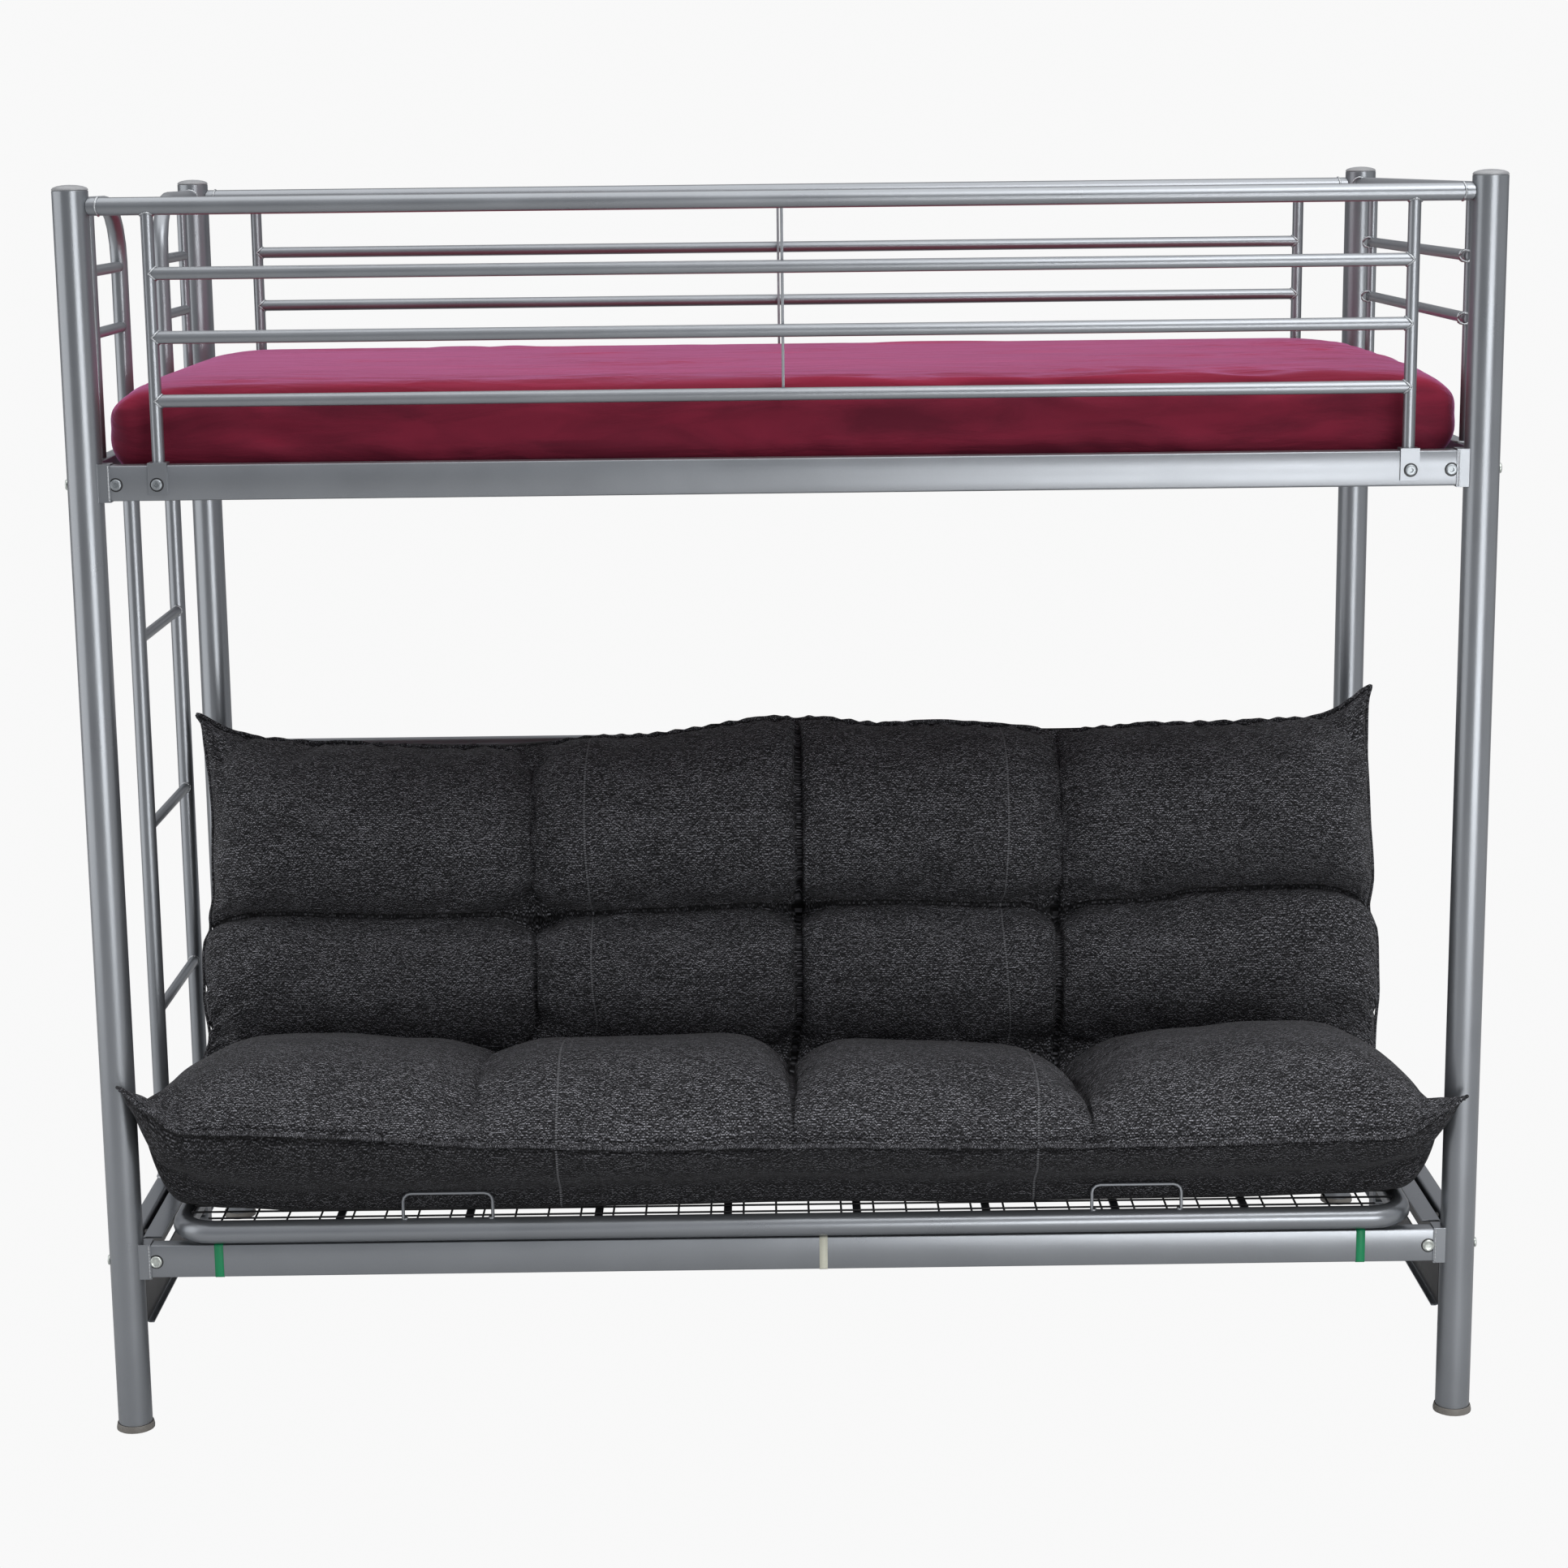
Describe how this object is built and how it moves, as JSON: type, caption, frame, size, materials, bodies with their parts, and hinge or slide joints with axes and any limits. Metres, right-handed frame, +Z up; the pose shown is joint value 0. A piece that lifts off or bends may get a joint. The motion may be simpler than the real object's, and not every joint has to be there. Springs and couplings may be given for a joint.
{
  "type": "futon bunk bed",
  "caption": "Round-tube steel bunk bed: a guarded single bed with an end ladder over a futon seat that slides forward and folds flat.",
  "frame": {"origin": "on the floor, under the middle of the whole bed with the futon folded up", "axes": "+X along the bed's length to its right end as seen from in front, +Y from the front to the back, +Z up"},
  "size_m": [2.016, 1.083, 1.816],
  "materials": {
    "silver": "satin",
    "cap_grey": "satin",
    "foot_grey": "matte",
    "black_steel": "satin",
    "nylon": "matte",
    "plum_cotton": "matte",
    "charcoal_weave": "matte"
  },
  "bodies": {
    "bunk_frame": {"post_front_left": "silver", "post_front_right": "silver", "post_back_left": "silver", "post_back_right": "silver", "post_cap_front_left": "cap_grey", "post_cap_front_right": "cap_grey", "post_cap_back_left": "cap_grey", "post_cap_back_right": "cap_grey", "foot_front_left": "foot_grey", "foot_front_right": "foot_grey", "foot_back_left": "foot_grey", "foot_back_right": "foot_grey", "upper_side_rail_front": "silver", "upper_side_rail_back": "silver", "upper_end_rail_left": "silver", "upper_end_rail_right": "silver", "lower_side_rail_front": "silver", "lower_side_rail_back": "silver", "lower_end_rail_left": "silver", "lower_end_rail_right": "silver", "guard_top_tube_front": "silver", "guard_top_tube_back": "silver", "guard_upright_front_left": "silver", "guard_upright_front_right": "silver", "guard_upright_back_left": "silver", "guard_upright_back_right": "silver", "guard_rail_front_high": "silver", "guard_rail_front_mid": "silver", "guard_rail_front_low": "silver", "guard_rail_back_high": "silver", "guard_rail_back_mid": "silver", "guard_rail_back_low": "silver", "guard_strap_front": "silver", "guard_strap_back": "silver", "ladder_hoop_front": "silver", "ladder_hoop_back": "silver", "ladder_leg_front": "silver", "ladder_leg_back": "silver", "ladder_rung_low": "silver", "ladder_rung_mid": "silver", "ladder_rung_high": "silver", "end_top_tube": "silver", "end_guard_upright_front": "silver", "end_guard_upright_back": "silver", "end_guard_rail_high": "silver", "end_guard_rail_mid": "silver", "upper_deck": "silver", "upper_mattress": "plum_cotton", "side_plate_left": "black_steel", "side_plate_right": "black_steel"},
    "seat_frame": {"seat_frame": "silver", "seat_net": "black_steel", "seat_pad": "charcoal_weave", "glide_front_left": "nylon", "glide_front_right": "nylon", "glide_back_left": "nylon", "glide_back_right": "nylon"},
    "back_frame": {"back_frame": "silver", "back_net": "black_steel", "back_pad": "charcoal_weave"}
  },
  "joints": [
    {"name": "seat_slide", "type": "slide", "parent": "bunk_frame", "child": "seat_frame", "axis": [0, -1, 0], "range_m": [0, 0.25]},
    {"name": "back_recline", "type": "hinge", "parent": "seat_frame", "child": "back_frame", "pos_m": [0, 0.1065, 0.32], "axis": [-1, 0, 0], "range_deg": [0, 76]}
  ],
  "couplings": [
    {"joint": "back_recline", "follows": "seat_slide", "rad_per_m": 5.3058}
  ]
}
